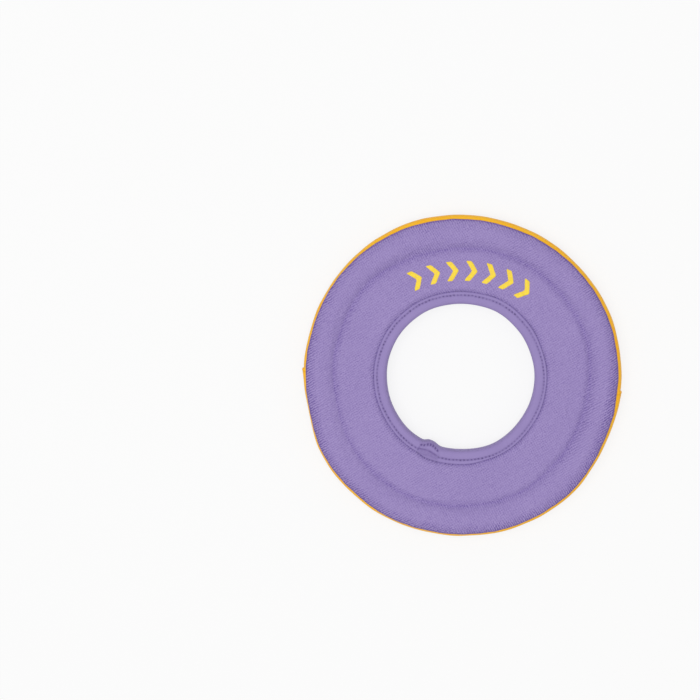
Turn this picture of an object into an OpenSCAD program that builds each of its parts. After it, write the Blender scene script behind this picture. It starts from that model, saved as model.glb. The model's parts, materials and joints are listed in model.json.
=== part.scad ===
// Soft flying ring: a foam ring in fabric covers, with an edge band and a bound hole.
// Millimetres. It lies flat with +Z up. The origin is at the centre of its underside.
// +Y is the back, at the top when the ring is looked down on, and +X is the right.

/* [Overall] */
// Diameter over the edge band
outer_d = 230; // [220:1:260]
// Diameter of the bound hole
hole_d = 107; // [90:1:114]
// Thickness of the raised rim, before its underside is cut flat
rim_h = 20; // [18:0.5:26]
// Thickness of the flat web between the hole and the rim
web_h = 15; // [13:0.5:17]
// Depth of the flat land that the rim rests on
land_depth = 0.5; // [0.3:0.1:0.8]

/* [Covers] */
// Thickness of the cover fabric
fabric_t = 1.2; // [0.8:0.1:1.5]
// Width of the raised rim, from the crease to the edge seam
rim_w = 19.5; // [16:0.5:24]
// Distance from the edge seam in to the crown of the rim
crown_inset = 8.8; // [7.5:0.1:11]
// Fullness of the padded curves, where 2 is a parabola and more is squarer
fullness = 2.4; // [2:0.1:3]
// Depth of the crease below the web
crease_depth = 1.5; // [0.5:0.1:2.5]
// Width over which the web rolls down into the crease
crease_w = 6; // [3:0.5:9]
// Width over which the covers swell up beside the binding
puff_w = 4; // [2:0.5:6]
// Height of the edge that each cover turns down inside the band
hem_h = 3; // [2:0.1:3.5]

/* [Edge band] */
// Height of the edge band, from one seam to the other
band_h = 13; // [11:0.5:16]
// Thickness of the edge band
band_t = 1.2; // [0.8:0.1:1.6]
// How far the edge band bulges out past its seams
band_bulge = 2.2; // [1.5:0.1:3]
// Place of the right-hand joint of the band, in degrees from +X
right_joint_angle = -6; // [-20:1:20]
// Place of the left-hand joint of the band, in degrees from +X
left_joint_angle = 178.5; // [160:0.5:200]
// Gap between the two lengths of the band at a joint
joint_gap = 0.2; // [0.1:0.05:0.4]

/* [Hole binding] */
// Thickness of the ring under the binding, over both covers
bound_h = 11; // [9:0.5:12.5]
// Width of the binding tape on each face
tape_w = 9.3; // [8:0.1:12]
// Thickness of the binding tape
tape_t = 1; // [0.6:0.1:1.4]
// Rounding of the binding where it turns into the hole
nose_r = 1.6; // [1.2:0.1:1.8]
// Length of the lapped end of the tape, round the hole
lap_len = 17; // [12:1:25]
// Place of the lapped end, in degrees from +X
lap_angle = 247; // [200:1:290]

/* [Stitching] */
// Diameter of the sewing thread
thread_d = 0.5; // [0.3:0.05:0.7]
// Distance from one stitch of the binding to the next
stitch_pitch = 2.6; // [2.2:0.1:4]
// Length of one stitch of the binding
stitch_len = 1.7; // [1.2:0.1:2]
// Distance of the binding's stitches from the edge of the hole
stitch_inset = 6.2; // [4.8:0.1:7]
// Distance from one stitch of the edge seams to the next
seam_pitch = 4; // [3.5:0.5:6]
// Length of one stitch of the edge seams
seam_len = 3; // [2:0.5:3]
// Distance of the second row of stitches, on the lapped end, from the edge of the hole
bar_inset = 2.8; // [2.4:0.1:3.6]
// Number of stitches across each joint of the band
joint_stitches = 3; // [2:1:3]

/* [Printed marks] */
// Height of a mark, along the radius
mark_h = 14.4; // [8:0.1:15]
// Width of a mark's stroke, along the circle
mark_stroke = 4.2; // [2:0.1:6]
// How far a mark's point leads its ends
mark_lead = 5; // [2:0.5:8]
// Number of marks
mark_count = 7; // [3:1:9]
// Angle from one mark to the next
mark_step = 10; // [9:0.5:12]
// Place of the middle mark, in degrees from +X
mark_angle = 85; // [60:1:120]
// Thickness of the printed film
film_t = 0.2; // [0.1:0.05:0.4]

/* [Hidden] */

$fn = 128;

// Gap between layers that lie on each other
lay_gap = 0.1;

// Heights are half thicknesses, measured from the plane halfway up the rim
mid_z = rim_h / 2 - land_depth;
rim_half = rim_h / 2;
web_half = web_h / 2;
bound_half = bound_h / 2;
crease_half = web_half - crease_depth;
seam_half = band_h / 2;

// Radii, from the edge band in to the hole
seam_r = outer_d / 2 - band_bulge;
crown_r = seam_r - crown_inset;
crease_r = seam_r - rim_w;
roll_r = crease_r - crease_w;
hole_r = hole_d / 2;
tape_r = hole_r + tape_w;
puff_r = tape_r + puff_w;
cover_in_r = hole_r + tape_t + lay_gap;

// Edge band and the hems that stand inside it
band_half = seam_half - fabric_t - lay_gap;
band_arc_r = (pow(band_half, 2) + pow(band_bulge, 2)) / (2 * band_bulge);
hem_out_r = seam_r - band_t - lay_gap;
hem_in_r = hem_out_r - fabric_t;
hem_low = band_half - hem_h;
band_in_r = outer_d / 2 - band_t - band_arc_r + sqrt(pow(band_arc_r, 2) - pow(hem_low, 2));
seam_thread_r = hem_in_r - lay_gap - thread_d / 2;
seam_thread_z = band_half - hem_h / 2;
joint_thread_r = band_in_r - lay_gap - thread_d / 2;

// Foam rim, with a rib that fills the band between the hems
foam_out_r = seam_thread_r - thread_d / 2 - lay_gap;
rib_r = joint_thread_r - thread_d / 2 - lay_gap;
rib_half = hem_low - lay_gap;

// Hole binding and its stitches
tape_half = bound_half + lay_gap + tape_t;
stitch_r = hole_r + stitch_inset;
stitch_z = tape_half + thread_d / 2;
stitch_arc = stitch_len / stitch_r * 180 / PI;
lap_arc = lap_len / stitch_r * 180 / PI;
bar_r = hole_r + bar_inset;
bar_step = stitch_pitch / bar_r * 180 / PI;
bar_count = floor((lap_arc - stitch_arc) / bar_step) + 1;

// Printed marks, in the middle of the flat web
mark_in_r = (puff_r + roll_r - mark_h) / 2;

// Height of a padded curve: 1 over its crown, and 0 at its foot where u is 1
function dome(u) = 1 - pow(u, fullness);

// Half thickness of the covered ring at radius r
function face(r) =
    r <= tape_r ? bound_half
    : r < puff_r ? bound_half + (web_half - bound_half) * dome((puff_r - r) / puff_w)
    : r <= roll_r ? web_half
    : r <= crease_r ? web_half - crease_depth * pow((r - roll_r) / crease_w, 2)
    : r <= crown_r ? crease_half + (rim_half - crease_half) * dome((crown_r - r) / (crown_r - crease_r))
    : seam_half + (rim_half - seam_half) * dome((r - crown_r) / crown_inset);

// Evenly spaced radii from a up to, but without, b
function steps(a, b, count) = [for (i = [0 : count - 1]) a + (b - a) * i / count];

// Radii at which a cover's curve is drawn
face_radii = concat(
    [cover_in_r],
    steps(tape_r, puff_r, 5),
    [puff_r],
    steps(roll_r, crease_r, 5),
    steps(crease_r, crown_r, 8),
    steps(crown_r, seam_r, 8),
    [seam_r]
);

// Those of the radii that lie between low and high, with both ends
function between(low, high) = concat([low], [for (r = face_radii) if (r > low && r < high) r], [high]);

function reversed(list) = [for (i = [len(list) - 1 : -1 : 0]) list[i]];

// Outside and inside of a cover, as points from radius low to radius high
function outside(low, high) = [for (r = between(low, high)) [r, face(r)]];
function inside(low, high) = [for (r = between(low, high)) [r, face(r) - fabric_t]];

// Top of the foam, as points from radius low to radius high
function foam_top(low, high) = [for (r = between(low, high)) [r, face(r) - fabric_t - lay_gap]];

// Section of a cover, with its hem turned down inside the band
module cover_section() {
    polygon(concat(
        outside(cover_in_r, seam_r),
        reversed(inside(hem_out_r, seam_r)),
        [[hem_out_r, hem_low], [hem_in_r, hem_low]],
        reversed(inside(cover_in_r, hem_in_r))
    ));
}

// Section that is the same above and below, from the points of its upper half
module mirrored_section(top) {
    polygon(concat(top, [for (p = reversed(top)) [p[0], -p[1]]]));
}

// Section of the edge band, an arc from seam to seam
module band_section() {
    difference() {
        intersection() {
            translate([outer_d / 2 - band_arc_r, 0])
                circle(r = band_arc_r);
            translate([outer_d / 2 - band_arc_r, -band_half])
                square([band_arc_r, 2 * band_half]);
        }
        translate([outer_d / 2 - band_arc_r - band_t, 0])
            circle(r = band_arc_r);
    }
}

// The length of band from one joint to the next
module band_length(from_angle, to_angle) {
    gap_angle = joint_gap / outer_d * 360 / PI;
    translate([0, 0, mid_z])
        rotate_extrude(angle = to_angle - from_angle - gap_angle, start = from_angle + gap_angle / 2)
            band_section();
}

module revolved() {
    translate([0, 0, mid_z])
        rotate_extrude()
            children();
}

// Section of the tape, folded over the edge of the hole with rounded corners
module tape_section() {
    difference() {
        union() {
            translate([hole_r, nose_r - tape_half])
                square([tape_t, 2 * (tape_half - nose_r)]);
            for (side = [-1, 1])
                translate([hole_r + nose_r, side * (tape_half - nose_r)])
                    circle(r = nose_r);
            translate([hole_r + nose_r, -tape_half])
                square([tape_w - nose_r, 2 * tape_half]);
        }
        translate([hole_r + tape_t, tape_t - tape_half])
            square([tape_w, 2 * (tape_half - tape_t)]);
    }
}

// Stitches lying in a ring at radius r and height z, as near to the pitch as a whole number allows
module stitch_ring(r, z, pitch, length) {
    count = round(2 * PI * r / pitch);
    for (i = [0 : count - 1])
        rotate(i * 360 / count)
            translate([r, 0, z])
                stitch(length);
}

// One stitch, lying along Y
module stitch(length) {
    rotate([90, 0, 0])
        cylinder(d = thread_d, h = length, center = true, $fn = 16);
}

// One chevron with its point towards -Y, standing along X from radius 0
module chevron() {
    polygon([
        [0, 0],
        [mark_h / 2, -mark_lead],
        [mark_h, 0],
        [mark_h, mark_stroke],
        [mark_h / 2, mark_stroke - mark_lead],
        [0, mark_stroke]
    ]);
}

module top_cover() {
    color("#9b89be")
        revolved()
            cover_section();
}

module bottom_cover() {
    color("#9b89be")
        intersection() {
            revolved()
                mirror([0, 1])
                    cover_section();
            cylinder(d = outer_d, h = rim_h);
        }
}

module foam_web() {
    color("#e9e6dc")
        revolved()
            mirrored_section(foam_top(cover_in_r, crease_r - lay_gap / 2));
}

module foam_rim() {
    color("#dedbd0")
        revolved()
            mirrored_section(concat(
                foam_top(crease_r + lay_gap / 2, foam_out_r),
                [[foam_out_r, rib_half], [rib_r, rib_half]]
            ));
}

module edge_band_back() {
    color("#f5a80f")
        band_length(right_joint_angle, left_joint_angle);
}

module edge_band_front() {
    color("#f5a80f")
        band_length(left_joint_angle, right_joint_angle + 360);
}

// The lapped end is a second layer on both faces, so the hole itself stays round
module hole_binding() {
    color("#9584b8") {
        revolved()
            tape_section();
        for (side = [-1, 1])
            translate([0, 0, mid_z + side * (tape_half + tape_t / 2)])
                rotate_extrude(angle = lap_arc, start = lap_angle - lap_arc / 2)
                    translate([hole_r + nose_r, -tape_t / 2])
                        square([tape_w - nose_r, tape_t]);
    }
}

// The row of stitches on one face, which climbs onto the lapped end of the tape
module binding_stitches(side) {
    count = round(2 * PI * stitch_r / stitch_pitch);
    for (i = [0 : count - 1])
        let (
            angle = i * 360 / count,
            on_lap = abs(angle - lap_angle) < (lap_arc + stitch_arc) / 2,
            height = stitch_z + (on_lap ? tape_t : 0)
        )
            rotate(angle)
                translate([stitch_r, 0, mid_z + side * height])
                    stitch(stitch_len);
}

module binding_stitch_top() {
    color("#75669c")
        binding_stitches(1);
}

module binding_stitch_bottom() {
    color("#75669c")
        binding_stitches(-1);
}

// A second row on the lapped end, through both faces
module binding_join_stitch() {
    color("#6b5c92")
        for (side = [-1, 1], i = [0 : bar_count - 1])
            rotate(lap_angle + (i - (bar_count - 1) / 2) * bar_step)
                translate([bar_r, 0, mid_z + side * (stitch_z + tape_t)])
                    stitch(stitch_len);
}

module top_edge_seam_thread() {
    color("#c9b8e0")
        stitch_ring(seam_thread_r, mid_z + seam_thread_z, seam_pitch, seam_len);
}

module bottom_edge_seam_thread() {
    color("#c9b8e0")
        stitch_ring(seam_thread_r, mid_z - seam_thread_z, seam_pitch, seam_len);
}

module band_joint_thread() {
    color("#d98c10")
        for (angle = [right_joint_angle, left_joint_angle])
            rotate(angle)
                for (i = [0 : joint_stitches - 1])
                    translate([joint_thread_r, 0, mid_z + (i - (joint_stitches - 1) / 2) * 2 * thread_d])
                        stitch(stitch_len);
}

module print_marks() {
    color("#f8dc40")
        translate([0, 0, mid_z + web_half])
            for (i = [0 : mark_count - 1])
                rotate(mark_angle + (i - (mark_count - 1) / 2) * mark_step)
                    translate([mark_in_r, 0, 0])
                        linear_extrude(film_t)
                            chevron();
}

top_cover();
bottom_cover();
foam_web();
foam_rim();
edge_band_back();
edge_band_front();
hole_binding();
binding_stitch_top();
binding_stitch_bottom();
binding_join_stitch();
top_edge_seam_thread();
bottom_edge_seam_thread();
band_joint_thread();
print_marks();
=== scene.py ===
"""Soft flying ring, lying flat and seen from above: foam in knit covers, an edge band and a bound hole.

Metres, +Z up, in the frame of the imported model. The ring's axis is the Z axis. Angles are counted
from +X, anticlockwise as seen from above, so that +Y is the top of the picture.
"""

import json
import math

import bpy
import numpy as np
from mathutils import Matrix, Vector


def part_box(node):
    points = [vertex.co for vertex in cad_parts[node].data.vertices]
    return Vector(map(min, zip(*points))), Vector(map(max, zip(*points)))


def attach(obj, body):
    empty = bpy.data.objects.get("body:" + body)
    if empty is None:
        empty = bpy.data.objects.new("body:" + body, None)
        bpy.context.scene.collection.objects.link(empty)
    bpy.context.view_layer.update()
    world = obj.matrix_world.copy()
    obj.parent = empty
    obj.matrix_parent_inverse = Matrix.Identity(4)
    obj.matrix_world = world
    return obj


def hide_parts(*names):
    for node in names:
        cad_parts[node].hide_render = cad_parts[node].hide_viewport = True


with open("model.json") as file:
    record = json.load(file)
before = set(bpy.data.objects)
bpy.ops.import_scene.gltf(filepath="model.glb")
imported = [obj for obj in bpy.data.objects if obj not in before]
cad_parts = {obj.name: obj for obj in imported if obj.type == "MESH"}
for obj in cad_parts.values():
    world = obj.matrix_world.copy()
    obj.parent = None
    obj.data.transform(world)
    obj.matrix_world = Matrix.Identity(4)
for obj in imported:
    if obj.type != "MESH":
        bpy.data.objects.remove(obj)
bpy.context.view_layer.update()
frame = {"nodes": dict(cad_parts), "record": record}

MM = 0.001
TAU = 2 * math.pi
BODY = "root"


# -------- sizes, from the frame
def reach(node):
    """How far a node reaches from the axis, on the +Y side."""
    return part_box(node)[1][1]


def top(node):
    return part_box(node)[1][2]


HOLE_R = next(m for m in frame["record"]["mounts"] if m["name"] == "centre_hole")["dims"]["r_mm"] * MM
OUTER_R = reach("edge_band_back")
SEAM_R = reach("top_cover")
TAPE_R = reach("hole_binding")
CREASE_R = reach("foam_web") + 0.05 * MM

MID_Z = (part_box("edge_band_back")[0][2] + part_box("edge_band_back")[1][2]) / 2
RIM_HALF = top("top_cover") - MID_Z
WEB_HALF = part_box("print_marks")[0][2] - MID_Z
TAPE_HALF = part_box("binding_stitch_top")[0][2] - MID_Z
BAND_HALF = top("edge_band_back") - MID_Z

FABRIC_T = 1.0 * MM
TAPE_T = 1.0 * MM
BAND_T = 1.0 * MM
BOUND_HALF = TAPE_HALF - TAPE_T
CROWN_R = SEAM_R - 8.8 * MM
FOLD_R = CREASE_R - 0.4 * MM
FOLD_HALF = WEB_HALF - 2.2 * MM
ROLL_R = FOLD_R - 4.8 * MM
PUFF_R = TAPE_R + 4 * MM
SEAM_HALF = BAND_HALF + 1.3 * MM

STITCH_R = HOLE_R + 6.2 * MM
STITCH_COUNT = 144
THREAD_R = 0.22 * MM
LAP_ANGLE = math.radians(247)
RIGHT_JOINT = math.radians(-6)
LEFT_JOINT = math.radians(178.5)


# -------- small helpers
def smooth(x, low, high):
    """0 below low, 1 above high, and an even curve between."""
    t = np.clip((x - low) / (high - low), 0, 1)
    return t * t * (3 - 2 * t)


def bell(x, width):
    return np.exp(-((x / width) ** 2))


def turn_between(a, b):
    """The signed angle from b to a, between -pi and pi."""
    return (a - b + math.pi) % TAU - math.pi


def waves(theta, orders, seed):
    """Uneven waves round the ring, of about unit height, with these numbers of waves in a turn."""
    rng = np.random.default_rng(seed)
    total = np.zeros_like(theta)
    for order in orders:
        total = total + rng.uniform(0.5, 1.0) * np.sin(order * theta + rng.uniform(0, TAU))
    return total / math.sqrt(len(orders) / 2)


# -------- the covered foam's form
FULLNESS = 2.4
SOFT_EDGE = 0.5 * MM
SOFT_FOLD = 1.2 * MM


def dome(u):
    return 1 - np.clip(u, 0, 2) ** FULLNESS


def hard_face(r):
    """Half thickness of the ring at radius r, with sharp changes of slope."""
    puff = BOUND_HALF + (WEB_HALF - BOUND_HALF) * dome((PUFF_R - r) / (PUFF_R - TAPE_R))
    roll = WEB_HALF - (WEB_HALF - FOLD_HALF) * ((r - ROLL_R) / (FOLD_R - ROLL_R)) ** 2
    rise = FOLD_HALF + (RIM_HALF - FOLD_HALF) * dome((CROWN_R - r) / (CROWN_R - FOLD_R))
    fall = SEAM_HALF + (RIM_HALF - SEAM_HALF) * dome((r - CROWN_R) / (SEAM_R - CROWN_R))
    return np.select(
        [r < TAPE_R, r < PUFF_R, r < ROLL_R, r < FOLD_R, r < CROWN_R],
        [np.full_like(r, BOUND_HALF), puff, np.full_like(r, WEB_HALF), roll, rise],
        fall,
    )


def make_face():
    """The same half thickness as soft fabric takes it: averaged over a short stretch of radius.

    Beside the tape and the edge seam the fabric is held, so it turns more sharply there.
    """
    step = 0.1 * MM
    r = np.arange(HOLE_R - 5 * MM, SEAM_R + 6 * MM, step)

    def averaged(width):
        kernel = bell(np.arange(-3 * width, 3 * width + step / 2, step), width)
        return np.convolve(hard_face(r), kernel / kernel.sum(), mode="same")

    free = smooth(r, TAPE_R + 2 * MM, PUFF_R + 2 * MM) * (1 - smooth(r, SEAM_R - 6 * MM, SEAM_R - 3 * MM))
    height = averaged(SOFT_EDGE) * (1 - free) + averaged(SOFT_FOLD) * free
    return lambda radius: np.interp(radius, r, height)


face = make_face()


# -------- uneven hand work
# Soft bulges and hollows. Each has its angle in degrees, its height in millimetres and its half width
# in degrees.
BODY_BULGES = (
    (27, 0.5, 14), (110, 0.7, 22), (160, -0.4, 12), (172, -1.1, 30), (192, -1.1, 10), (210, 0.6, 8),
    (230, 0.9, 30), (241, 0.4, 9), (280, 0.4, 25), (305, 1.0, 28), (318, 0.4, 14), (335, -0.8, 12),
)
SEAM_BULGES = ((38, 0.4, 18), (138, 0.6, 14), (180, 0.55, 43), (20, -0.2, 50), (90, -0.2, 30))
BAND_BULGES = ((192, -0.4, 12), (145, -0.3, 14), (228, 0.3, 20), (290, 0.35, 22))
HOLE_BULGES = ((60, 0.6, 16), (205, -0.55, 26), (295, 0.85, 12))
HOLE_EDGE_BULGES = ((218, 0.65, 22), (120, -0.15, 60))
CREASE_BULGES = (
    (15, 0.9, 10), (60, 0.3, 25), (103, -1.5, 18), (135, 1.2, 9), (175, 0.7, 14), (190, -1.7, 34),
    (285, -0.8, 14), (315, -1.8, 12), (345, -0.8, 22),
)
TAPE_BULGES = ((60, 0.35, 28), (290, -0.45, 28))
JOINT_REACH = 0.10


def toward(theta, angle, half_width):
    """1 at this angle in degrees, fading over the half width to 0 away from it."""
    return bell(turn_between(theta, math.radians(angle)), math.radians(half_width))


def bulges(theta, marks):
    """The sum of the soft bulges in one of the lists above."""
    total = 0 * theta
    for angle, height, half_width in marks:
        total = total + height * MM * toward(theta, angle, half_width)
    return total


def out_of_round(theta):
    """How far the soft ring's outline lies outside its even circle."""
    oval = -0.5 * MM * np.cos(2 * theta)
    uneven = 0.12 * MM * waves(theta, (7, 11, 16, 23), 3)
    return oval + bulges(theta, BODY_BULGES) + uneven


def seam_radius(theta):
    """Where the cover meets the edge band. The band's joints draw the seam in."""
    at_right = bell(turn_between(theta, RIGHT_JOINT), JOINT_REACH)
    at_left = bell(turn_between(theta, LEFT_JOINT), JOINT_REACH)
    joints = (0.7 * at_right + 0.4 * at_left) * MM
    low_side = 0.25 * MM * np.sin(theta)
    fine = 0.06 * MM * waves(theta, (38, 47, 61, 74), 4)
    return SEAM_R + out_of_round(theta) - joints - low_side + bulges(theta, SEAM_BULGES) + fine


def outer_radius(theta):
    """The widest line of the edge band."""
    return OUTER_R + out_of_round(theta) + bulges(theta, BAND_BULGES)


def hole_shift(theta):
    """The hole is sewn a little off centre, to the front left."""
    off_centre = 0.8 * MM * np.cos(theta - math.radians(225))
    return off_centre + bulges(theta, HOLE_BULGES) + 0.12 * MM * waves(theta, (4, 6, 9, 13), 5)


def cover_radius(r, theta):
    """Carries an even radius to the uneven one, between the hole's shift and the seam's."""
    share = np.clip((r - HOLE_R) / (SEAM_R - HOLE_R), 0, 1)
    even = r + (1 - share) * hole_shift(theta) + share * (seam_radius(theta) - SEAM_R)
    beside_tape = (tape_edge(theta) - (TAPE_R - HOLE_R)) * (1 - smooth(r, TAPE_R, TAPE_R + 10 * MM))
    near_crease = smooth(r, PUFF_R, CREASE_R) * (1 - smooth(r, CREASE_R, SEAM_R))
    return even + beside_tape + near_crease * bulges(theta, CREASE_BULGES)


def cover_height(r, theta, side, settled):
    """Height of a cover's face above the middle plane, at the even radius r."""
    near_tape = bell(np.maximum(r - TAPE_R, 0), 4 * MM)
    near_seam = bell(np.maximum(SEAM_R - r, 0), 6 * MM)
    on_rim = smooth(r, CREASE_R, CROWN_R)
    gathers = 0.08 * MM * waves(theta, (41, 53, 67, 83, 127, 163), 11 + side) * near_tape
    puckers = 0.16 * MM * waves(theta, (31, 44, 58, 71, 90), 13 + side) * near_seam
    swell = 0.25 * MM * waves(theta, (2, 3, 5, 8, 12), 17 + side) * on_rim
    sway = 0.10 * MM * waves(theta + 9 * r / SEAM_R, (5, 8, 13, 19), 19 + side)
    shallow = 0.8 * MM * toward(theta, 200, 45) * bell(r - FOLD_R, 4.5 * MM)
    height = face(r) + gathers + puckers + swell + sway + shallow + settled(r, theta)
    return height if side > 0 else np.minimum(height, MID_Z)


def no_settling(r, theta):
    return 0 * r


# -------- meshes
def mesh_object(name, points, faces, uv=None, marks=None):
    """A smooth-shaded object. uv holds (u, v) of every corner, in metres, and marks holds point values."""
    mesh = bpy.data.meshes.new(name)
    faces = faces if isinstance(faces, list) else faces.tolist()
    mesh.from_pydata(np.asarray(points).tolist(), [], faces)
    mesh.polygons.foreach_set("use_smooth", np.ones(len(faces), bool))
    if uv is not None:
        layer = mesh.uv_layers.new(name="along")
        layer.data.foreach_set("uv", uv.astype(np.float32).ravel())
    for mark, values in (marks or {}).items():
        layer = mesh.attributes.new(mark, "FLOAT", "POINT")
        layer.data.foreach_set("value", values.astype(np.float32).ravel())
    mesh.update()
    piece = bpy.data.objects.new(name, mesh)
    bpy.context.scene.collection.objects.link(piece)
    return piece


def around(low, high):
    """A ring of texture places for each face's four corners, from the lows and highs of u and of v."""
    u = np.stack([low[0], high[0], high[0], low[0]], axis=1)
    v = np.stack([low[1], low[1], high[1], high[1]], axis=1)
    return np.stack([u, v], axis=-1)


def sweep(name, radius, height, theta, whole_turn=True, marks=None):
    """A closed solid from a closed section at each angle: the arrays are [angle, section point]."""
    turns, count = radius.shape
    cos, sin = np.cos(theta)[:, None], np.sin(theta)[:, None]
    points = np.stack([radius * cos, radius * sin, height + MID_Z], axis=-1).reshape(-1, 3)
    rows = np.arange(turns if whole_turn else turns - 1)
    i = np.repeat(rows, count)
    j = np.tile(np.arange(count), len(rows))
    i_next, j_next = (i + 1) % turns * count, (j + 1) % count
    i_this = i * count
    faces = np.stack([i_this + j, i_next + j, i_next + j_next, i_this + j_next], axis=1)
    step = np.hypot(np.diff(radius[0], append=radius[0, :1]), np.diff(height[0], append=height[0, :1]))
    along = np.concatenate([[0], np.cumsum(step)])
    turn = np.append(theta, theta[0] + TAU) * radius.mean()
    uv = around((turn[i], along[j]), (turn[i + 1], along[j + 1]))
    if not whole_turn:
        ends = [list(range(count))[::-1], list(range((turns - 1) * count, turns * count))]
        faces = faces.tolist() + ends
        uv = np.vstack([uv.reshape(-1, 2), np.zeros((2 * count, 2))])
    return mesh_object(name, points, faces, uv, marks)


def even_turn(count):
    return np.arange(count) * TAU / count


def place(piece, material, slot, *nodes):
    """The piece rides on the ring, takes its material and stands for the CAD nodes."""
    piece.data.materials.append(material)
    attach(piece, BODY)
    if nodes:
        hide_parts(*nodes)
    return piece


# -------- covers
EDGE_ROLL = 1.1 * MM
ROLL_FROM, ROLL_TO = math.radians(42), math.radians(150)
# How dark the painted shade along the fold line is.
FOLD_LINE_SHADE = 0.28
COVER_IN_R = HOLE_R + 3.6 * MM
COVER_SPOKES = 720


def tuck_shade_depth(theta):
    """How much painted shade the tape's tucked outer edge takes, from its back to its front, with an
    uneven line.
    """
    return (0.34 + 0.26 * waves(theta, (131, 173, 211, 257), 21)) * (0.80 - 0.22 * np.sin(theta))


def cover_shade(r, radius, theta):
    """Painted shade where the cover tucks in under the tape and into the edge seam, and along its fold."""
    tape = HOLE_R + hole_shift(theta) + tape_edge(theta)
    # Painted shade beside the tape's edge, in the seam's ditch and in a thin line along the fold.
    tuck = bell(radius - tape - 0.2 * MM, 0.36 * MM) * tuck_shade_depth(theta)
    ditch = smooth(radius, seam_radius(theta) - 1.5 * MM, seam_radius(theta) - 0.1 * MM)
    sharp = (1 - 0.7 * toward(theta, -12, 22)) * (0.8 + 0.25 * waves(theta, (13, 29, 47, 88), 57))
    line = FOLD_LINE_SHADE * sharp * bell(r - FOLD_R, 0.6 * MM)
    return np.clip(np.maximum(np.maximum(tuck, 0.8 * ditch), line), 0, 1)


def cover_crowd_and_shade(r, theta):
    """How closely the ribs crowd at the even radius r, and the painted shade that goes with it: in the
    fold, by the tape and towards the edge.

    The band's joints draw the cover in, so that it crowds sooner and more beside them. The fold's painted
    shade leans on the web at the left, on the rim at the back, and spreads both ways at the right.
    """
    drawn = toward(theta, -12, 26) + 0.5 * toward(theta, 184, 20)
    low_side = smooth(-np.sin(theta), -0.2, 0.4)
    start = SEAM_R - 7.5 * MM - 1.0 * MM * drawn
    front_left = toward(theta, 215, 30)
    # The edge's painted shade: more beside the joints, at the front and at the front left, less at the
    # back.
    most = 1.2 + 1.3 * drawn + 0.45 * low_side + 0.5 * front_left - 0.6 * toward(theta, 88, 34)
    edge = most * np.clip((r - start) / (SEAM_R - 1.0 * MM - start), 0, 1)
    right = toward(theta, -12, 22)
    left = 2.2 * toward(theta, 190, 45) + 1.3 * toward(theta, 140, 22)
    inward = (2.2 + left + 1.2 * right - 0.7 * toward(theta, 300, 35)) * MM
    outward = (2.2 + 3.4 * toward(theta, 95, 36) + 4.0 * right - 1.3 * toward(theta, 198, 40)) * MM
    away = r - FOLD_R
    # The fold's painted shade, spread unevenly to each side of the fold.
    fold = (0.62 + 0.3 * right) * bell(away / np.where(away < 0, inward, outward), 1)
    tape = 0.5 * bell(r - TAPE_R, 2.5 * MM)
    return np.maximum(np.maximum(fold, edge), tape)


def cover_section(theta, side, settled):
    """The loop of a cover's cut edge: over its face, round its edge into the seam, and back inside."""
    r_face = np.concatenate([
        np.linspace(COVER_IN_R, TAPE_R - 0.6 * MM, 4),
        np.linspace(TAPE_R - 0.2 * MM, PUFF_R, 12),
        np.linspace(PUFF_R, FOLD_R - 4 * MM, 24)[1:],
        np.linspace(FOLD_R - 4 * MM, FOLD_R + 3 * MM, 22)[1:],
        np.linspace(FOLD_R + 3 * MM, SEAM_R - 0.38 * MM, 27)[1:],
    ])
    t = theta[:, None]
    r = np.broadcast_to(r_face, (len(theta), len(r_face)))
    radius = cover_radius(r, t)
    height = cover_height(r, t, side, settled)
    turn = np.linspace(ROLL_FROM, ROLL_TO, 9)[1:]
    centre_r = radius[:, -1:] - EDGE_ROLL * math.sin(ROLL_FROM)
    centre_z = height[:, -1:] - EDGE_ROLL * math.cos(ROLL_FROM)
    roll_r = centre_r + EDGE_ROLL * np.sin(turn)
    roll_z = centre_z + EDGE_ROLL * np.cos(turn)
    back = slice(None, None, -3)
    even = np.hstack([r, r[:, -1:] + 0 * turn, r[:, back]])
    radius = np.hstack([radius, roll_r, radius[:, back] - 0.1 * MM])
    height = np.hstack([height, roll_z, height[:, back] - FABRIC_T])
    return radius, side * height, even


def make_cover(name, side, settled, material):
    theta = even_turn(COVER_SPOKES)
    radius, height, even = cover_section(theta, side, settled)
    if side < 0:
        radius, height, even = radius[:, ::-1], height[:, ::-1], even[:, ::-1]
    t = theta[:, None]
    # shade holds painted shade; crowd holds the ribs' crowding together with painted shade on the slopes.
    marks = {"shade": cover_shade(even, radius, t), "crowd": cover_crowd_and_shade(even, t)}
    piece = sweep(name, radius, height, theta, marks=marks)
    place(piece, material, "cover_fabric", name)
    return piece


# -------- edge band
BAND_TUCK = 0.7 * MM
BAND_ROUND = 0.85
BAND_SPOKES = 420
BAND_GAP = 0.0002
BAND_CROWDING = 0.035


def joint_lump(theta):
    """The band's ends are doubled at a joint: abruptly behind it, and tapering in front of it."""
    lump = np.zeros_like(theta)
    for joint, way, height in ((RIGHT_JOINT, -1, 0.85 * MM), (LEFT_JOINT, 1, 1.2 * MM)):
        d = turn_between(theta, joint) * OUTER_R * way
        start = smooth(d, -2.6 * MM, -1.8 * MM)
        taper = np.exp(-np.maximum(d + 1.2 * MM, 0) / (5 * MM))
        lump = lump + height * start * taper * (np.abs(d) < 40 * MM)
        lump = lump - 0.2 * MM * bell(d + 3.0 * MM, 0.7 * MM) - 0.12 * MM * bell(d, 0.3 * MM)
    return lump


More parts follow.
